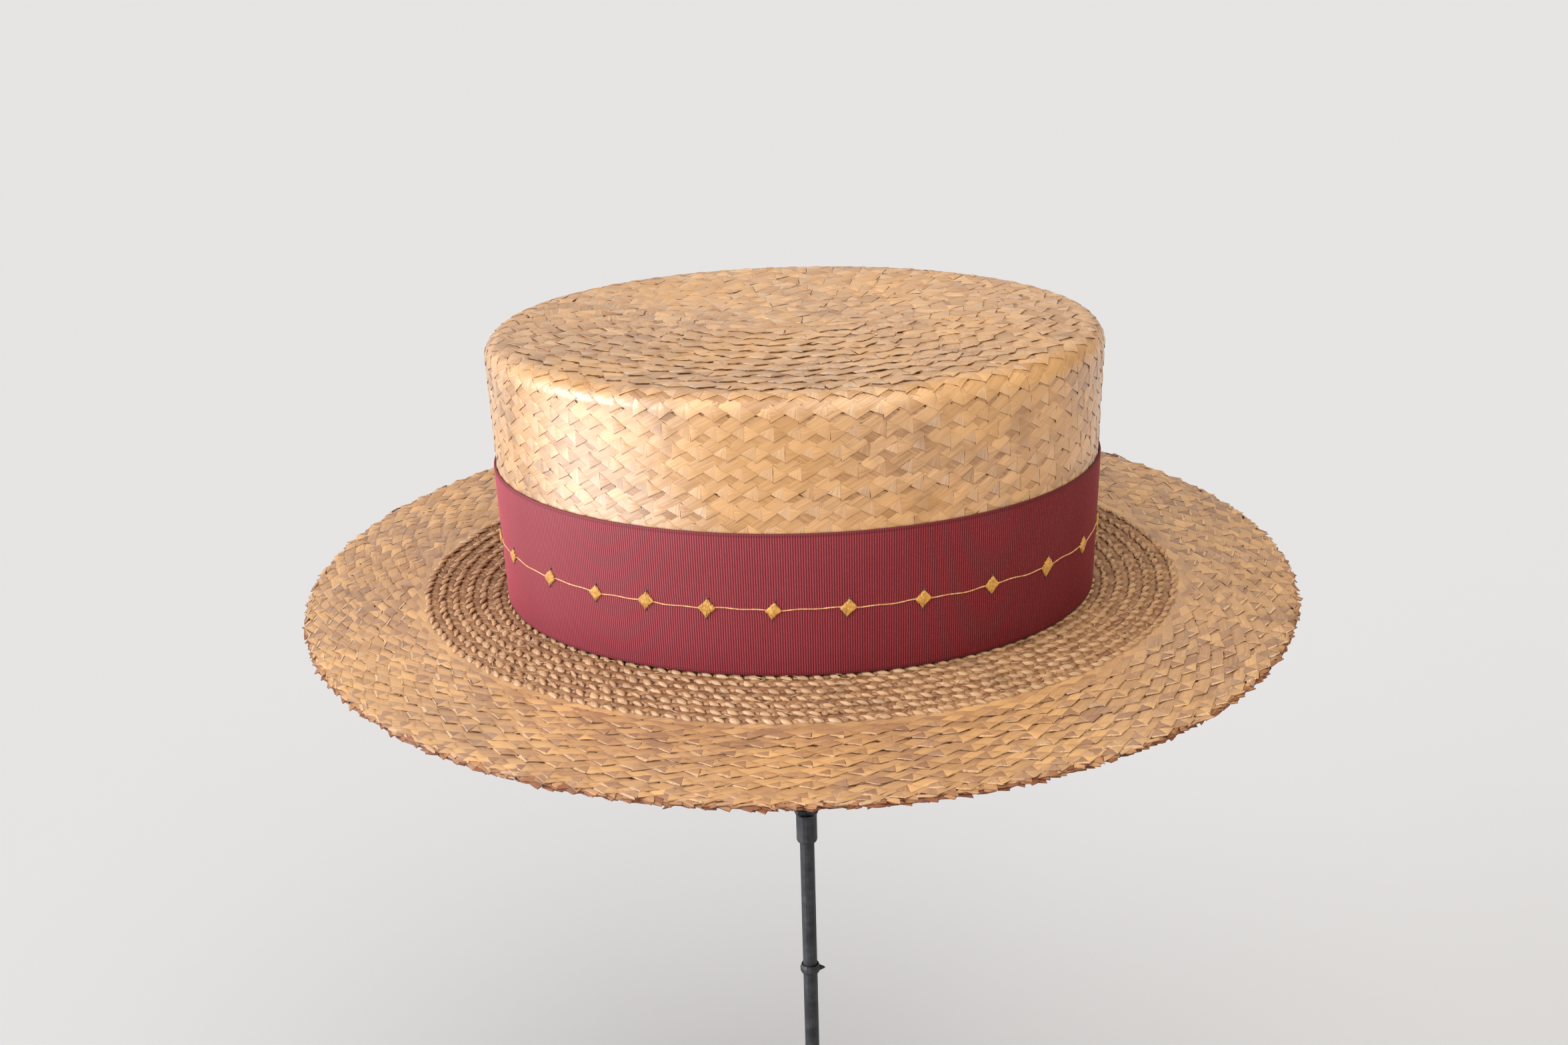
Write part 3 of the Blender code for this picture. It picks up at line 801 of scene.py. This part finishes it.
def make_ribbon(material):
    """A closed sheet with ribs, plain selvedges, and one end lapped at the back."""
    sides = int(round(Ribbon.length / RIB_PITCH)) * POINTS_PER_RIB
    along = (np.arange(sides) / sides - 0.5) * Ribbon.length
    heights = ribbon_heights()
    rows = len(heights)
    grid_along, grid_height = np.meshgrid(along, heights)
    from_edge = np.minimum(grid_height - BAND_LOW, BAND_HIGH - grid_height)
    rib = np.tile((np.cos(np.arange(sides) * 2 * math.pi / POINTS_PER_RIB) + 1) / 2, (rows, 1))
    near = 0.0001
    in_body = from_edge > SELVEDGE + near
    on_selvedge = np.abs(from_edge - SELVEDGE * 0.5) < near
    out = RIBBON_OUT + RIB_HEIGHT * rib * np.where(in_body, 1, 0.5)
    out += 0.00010 * on_selvedge - 0.0002 * (from_edge < near)
    # the thread pulls the ribs aside and draws the cloth in a little
    pull = np.exp(-((grid_height - STITCH_HEIGHT) / STITCH_PULL) ** 2)
    sway = np.sin(grid_along * 130) + 0.6 * np.sin(grid_along * 283 + 1.0)
    grid_along = grid_along + 0.00022 * pull * sway
    out -= 0.00008 * pull
    outside = Ribbon.point(grid_along, grid_height, out)
    edge_rows = [0, rows - 1]
    inside = Ribbon.point(grid_along[edge_rows], grid_height[edge_rows],
                          np.full((2, sides), RIBBON_OUT - RIBBON_WALL))
    points = np.concatenate([outside.reshape(-1, 3), inside.reshape(-1, 3)])
    index = np.arange((rows + 2) * sides).reshape(rows + 2, sides)
    after = np.roll(index, -1, axis=1)

    def strip(low, high):
        return np.stack([index[low], after[low], after[high], index[high]], -1)

    faces = [strip(row, row + 1) for row in range(rows - 1)]
    faces += [strip(rows - 1, rows + 1), strip(rows + 1, rows), strip(rows, 0)]
    mesh = new_mesh("hat_ribbon", points, np.concatenate(faces))
    # these rib values also set how much painted shade the grooves get, less on the selvedges
    shade = (rib * np.where(in_body, 1.0, 0.55)).ravel()
    add_values(mesh, "rib", np.concatenate([shade, np.zeros(2 * sides)]))
    return add_piece("hat_ribbon", mesh, material, "ribbon", "hat_band")


def tube(middle, radius, side_way, up_way, sides, closed=False):
    """Points and faces of a tube along a line, with a radius for each point of the line."""
    count = len(middle)
    turn = np.arange(sides) * 2 * math.pi / sides
    across = side_way[:, None] * np.cos(turn)[None, :, None]
    rise = up_way[:, None] * np.sin(turn)[None, :, None]
    points = middle[:, None] + (across + rise) * np.asarray(radius)[:, None, None]
    index = np.arange(count * sides).reshape(count, sides)
    after_line = np.roll(index, -1, axis=0) if closed else index[1:]
    this_line = index if closed else index[:-1]
    faces = np.stack([this_line, after_line, np.roll(after_line, -1, axis=1),
                      np.roll(this_line, -1, axis=1)], -1)
    return points.reshape(-1, 3), faces.reshape(-1, 4)


def stitch_wave(along):
    """How far the thread strays from its level."""
    return 0.00022 * np.sin(along * 210) + 0.00016 * np.sin(along * 517 + 2.0)


def make_thread_line(material):
    along = (np.arange(THREAD_POINTS) / THREAD_POINTS - 0.5) * Ribbon.length
    height = STITCH_HEIGHT + stitch_wave(along)
    out = np.full(THREAD_POINTS, RIBBON_OUT + 0.00018)
    upward = np.tile(UPRIGHT, (THREAD_POINTS, 1))
    radius = THREAD_R * (1 + 0.12 * np.sin(along * 2 * math.pi / THREAD_TWIST))
    points, faces = tube(Ribbon.point(along, height, out), radius, upward,
                         Ribbon.outward(along, height, out), 8, closed=True)
    return add_piece("thread_line", new_mesh("thread_line", points, faces), material, "thread")


def diamond_places():
    first, last = DIAMOND_PLACES[0], DIAMOND_PLACES[-1]
    step = (Ribbon.length - (last - first)) / (HIDDEN_DIAMONDS + 1)
    return list(DIAMOND_PLACES) + [last + step * (i + 1) for i in range(HIDDEN_DIAMONDS)]


def diamond_strand(place, level, offset, lean, size):
    """One upright strand, as long as the diamond is high there. offset is -1 to 1 across it."""
    points = 7
    half = DIAMOND_HALF_HIGH * size * (1.02 - abs(offset) * 0.90) + RNG.normal(0, 0.00010)
    run = np.linspace(-1, 1, points)
    along = place + offset * DIAMOND_HALF_WIDE * size + lean * run * half
    along = along + RNG.normal(0, 0.00004, points)
    height = level + run * half
    arch = np.clip(1 - run ** 6 * 0.97, 0, 1) ** 0.5
    out = RIBBON_OUT + 0.00005 + 0.00040 * arch + 0.00015 * (1 - abs(offset))
    outward = Ribbon.outward(along, height, out)
    return tube(Ribbon.point(along, height, out), STRAND_R * arch ** 0.6,
                np.cross(outward, UPRIGHT), outward, 6)


def diamond_knot(place, level, end, lean, size):
    """The short dark knot at a diamond's top, where end is 1, or at its foot, where it is -1."""
    points = 5
    height = np.full(points, level + end * (DIAMOND_HALF_HIGH * size + 0.0001))
    run = np.linspace(-1, 1, points)
    along = place + lean * end * DIAMOND_HALF_HIGH + run * KNOT_HALF_LONG
    out = np.full(points, RIBBON_OUT + 0.00022)
    return tube(Ribbon.point(along, height, out),
                KNOT_R * np.sqrt(np.clip(1 - run * run * 0.97, 0, 1)),
                np.tile(UPRIGHT, (points, 1)), Ribbon.outward(along, height, out), 6)


def make_diamonds(gold, dark):
    """Satin stitch: strands side by side, with a knot above and below each diamond."""
    strands, knots = [], []
    for place in diamond_places():
        lean = RNG.normal(0.10, 0.05)
        size = RNG.normal(1.0, 0.05)
        level = STITCH_HEIGHT + float(stitch_wave(np.array(place)))
        for strand in range(DIAMOND_STRANDS):
            offset = (strand + 0.5) / DIAMOND_STRANDS * 2 - 1
            strands.append(diamond_strand(place, level, offset, lean, size))
        knots += [diamond_knot(place, level, end, lean, size) for end in (-1, 1)]
    return [add_piece("thread_diamonds", joined("thread_diamonds", strands), gold, "thread"),
            add_piece("thread_knots", joined("thread_knots", knots), dark, "thread")]


def joined(name, parts):
    """One mesh from many (points, faces)."""
    points = np.concatenate([part[0] for part in parts])
    starts = np.cumsum([0] + [len(part[0]) for part in parts[:-1]])
    faces = np.concatenate([part[1] + start for part, start in zip(parts, starts)])
    return new_mesh(name, points, faces)


def make_thread(name, low, high):
    n = new_material(name)
    strand = n.noise(n.here(), 900, 2.0, 0.6)
    twist = n.noise(n.here(), 3800, 2.0, 0.5)
    body = n.mix(n.spread(strand, 0.35, 0.65), low, high)
    return n.finish(Base_Color=body, Roughness=0.5, Sheen_Weight=0.15,
                    Normal=n.bump(twist, 0.4, 0.0001))


def make_iron():
    n = new_material("worn_iron")
    grime = n.noise(n.here(), 260, 4.0, 0.6)
    wear = n.noise(n.here(), 90, 3.0, 0.6)
    body = n.mix(n.spread(grime, 0.35, 0.7), (0.016, 0.017, 0.020), (0.050, 0.052, 0.058))
    body = n.mix(n.spread(wear, 0.58, 0.75, 0.0, 0.5), body, (0.11, 0.105, 0.10))
    return n.finish(Base_Color=body, Metallic=0.35, Normal=n.bump(grime, 0.3, 0.0003),
                    Roughness=n.spread(grime, *NOISE_MIDDLE, 0.42, 0.62))


def dress_stand(material):
    for name in ("base", "rod", "knuckle", "collar", "pin", "plate"):
        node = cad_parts["stand_" + name]
        node.data.materials.clear()
        node.data.materials.append(material)
        node.data.shade_smooth()


def make_floor():
    half = 14.0
    mesh = bpy.data.meshes.new("floor")
    mesh.from_pydata([(-half, -half, 0), (half, -half, 0), (half, half, 0), (-half, half, 0)], [],
                     [(0, 1, 2, 3)])
    mesh.materials.append(new_material("pale_floor").finish(
        Base_Color=(0.62, 0.62, 0.62), Roughness=0.9, Specular_IOR_Level=0.0))
    add_object("floor", mesh)


def sun(name, direction, angle, strength, tint):
    """A far soft light that shines from a direction."""
    data = bpy.data.lights.new(name, "SUN")
    data.angle = math.radians(angle)
    data.energy = strength
    data.color = tint
    light = add_object(name, data)
    light.location = Vector(direction) * 2
    light.rotation_euler = Vector(direction).to_track_quat("Z", "Y").to_euler()


GLOSS_AIM = Vector((-0.06, -0.07, 0.36))  # on the crown's left front


def gloss_light(name, place, wide, high, energy):
    """A bright patch that only shows as a gloss on the straw and lights nothing else."""
    data = bpy.data.lights.new(name, "AREA")
    data.shape = "RECTANGLE"
    data.size, data.size_y = wide, high
    data.energy = energy
    light = add_object(name, data)
    light.location = place
    light.rotation_euler = (GLOSS_AIM - light.location).to_track_quat("-Z", "Y").to_euler()
    light.visible_camera = False
    light.visible_diffuse = False


def make_lights():
    sun("window_left", (-0.92, -0.32, 0.32), 60, 2.9, (0.94, 0.98, 1.06))
    sun("soft_top", (0.10, -0.50, 0.85), 60, 1.6, (1.0, 0.985, 0.965))
    gloss_light("sill", (-0.72, -0.31, 0.10), 0.70, 0.22, 3.6)
    gloss_light("window", (-0.82, -0.28, 0.64), 0.34, 0.26, 6.5)


ROOM_LEFT = (1.15, 1.20, 1.28)
ROOM_RIGHT = (0.68, 0.53, 0.36)
ROOM_STRENGTH = 0.62
BACKDROP = 0.79           # the surroundings look as bright as the floor that they meet


def make_world():
    """A room that is brighter and cooler on the left, and a plain backdrop past the floor's end."""
    world = bpy.data.worlds.new("studio")
    n = Nodes(world)
    direction = n.add("ShaderNodeTexCoord", {}, "Generated")
    sideways = n.add("ShaderNodeSeparateXYZ", {0: direction}, "X")
    room = n.mix(n.spread(sideways, -1.0, 1.0), ROOM_LEFT, ROOM_RIGHT)
    light = n.tree.nodes["Background"]
    n.put(light.inputs["Color"], room)
    n.put(light.inputs["Strength"], ROOM_STRENGTH)
    backdrop = n.add("ShaderNodeBackground", {"Color": (1.0, 1.0, 1.0), "Strength": BACKDROP})
    seen = n.add("ShaderNodeLightPath", {}, "Is Camera Ray")
    choice = n.add("ShaderNodeMixShader", {0: seen, 1: light.outputs[0], 2: backdrop})
    n.put(n.tree.nodes["World Output"].inputs["Surface"], choice)
    bpy.context.scene.world = world


# The camera, solved from the outlines of crown, ribbon and brim in the picture
PICTURE_WIDE, PICTURE_HIGH = 2352, 1568
FOCAL_PX = 3288.1
ELEVATION = math.radians(19.19)
ROLL = math.radians(1.489)
DISTANCE = 0.75434
AIM = Vector((0, 0, FOOT_Z + 0.03))
AIM_PX = Vector((1198.2, 748.4))
SENSOR = 36.0


def make_camera():
    """Place the camera so that the aim point falls on its own pixel, off the picture's middle."""
    back = Vector((0, -math.cos(ELEVATION), math.sin(ELEVATION)))
    right = Vector((1, 0, 0))
    up = back.cross(right)
    pan = math.atan((AIM_PX.x - PICTURE_WIDE / 2) / FOCAL_PX)
    tilt = math.atan(-(AIM_PX.y - PICTURE_HIGH / 2) / FOCAL_PX)
    side = right * math.cos(pan) - back * math.sin(pan)
    depth = -right * math.sin(pan) - back * math.cos(pan)
    rise = up * math.cos(tilt) + depth * math.sin(tilt)
    depth = depth * math.cos(tilt) - up * math.sin(tilt)
    camera_right = side * math.cos(ROLL) - rise * math.sin(ROLL)
    camera_up = side * math.sin(ROLL) + rise * math.cos(ROLL)
    data = bpy.data.cameras.new("camera")
    data.sensor_width = SENSOR
    data.lens = FOCAL_PX / PICTURE_WIDE * SENSOR
    data.clip_start = 0.02
    data.clip_end = 60
    camera = add_object("camera", data)
    turn = Matrix((camera_right, camera_up, -depth)).transposed().to_4x4()
    camera.matrix_world = Matrix.Translation(AIM + back * DISTANCE) @ turn
    bpy.context.scene.camera = camera


bpy.context.scene.view_settings.view_transform = "Standard"
make_camera()
make_lights()
make_world()
make_floor()
straw_crown = make_straw("straw_crown", (0.36, 0.165, 0.056), (0.83, 0.487, 0.225),
                         (0.80, 0.59, 0.40), roughness=0.36, gloss=0.85, outline=1.0,
                         contrast=0.9, golden=0.38)
straw_brim = make_straw("straw_brim", (0.33, 0.172, 0.093), (0.79, 0.458, 0.188),
                        (0.76, 0.52, 0.32), roughness=0.44, gloss=0.80, outline=1.0,
                        contrast=0.8, golden=0.2)
straw_rings = make_straw("straw_rings", (0.27, 0.115, 0.042), (0.63, 0.36, 0.165),
                         (0.72, 0.50, 0.29), roughness=0.46, gloss=0.15,
                         dirt_and_gap_shade=(0.080, 0.025, 0.011))
straw_edge = make_straw("straw_edge", (0.26, 0.085, 0.027), (0.66, 0.36, 0.150),
                        (0.70, 0.50, 0.32), roughness=0.46, gloss=0.3,
                        dirt_and_gap_shade=(0.10, 0.018, 0.009))
straw_back = make_straw("straw_back", (0.16, 0.075, 0.03), (0.34, 0.18, 0.075),
                        STRAW_BACK_PALE, roughness=0.6)
straw_crown_back = make_straw("straw_crown_back", (0.34, 0.16, 0.055), (0.56, 0.30, 0.12),
                              STRAW_BACK_PALE, roughness=0.6)
make_backing(straw_crown_back, straw_back)
make_crown_plait(straw_crown)
make_crown_inside(straw_crown)
make_brim_plait(straw_brim)
make_brim_edge(straw_edge)
make_bead_rings(straw_rings)
ribbon = make_ribbon(make_ribbon_material())
line_thread = make_thread("line_thread", (0.52, 0.24, 0.075), (0.84, 0.48, 0.22))
gold_thread = make_thread("gold_thread", (0.50, 0.23, 0.035), (0.82, 0.45, 0.09))
dark_thread = make_thread("dark_thread", (0.022, 0.018, 0.020), (0.075, 0.060, 0.055))
stitching = [make_thread_line(line_thread), *make_diamonds(gold_thread, dark_thread)]
dress_stand(make_iron())
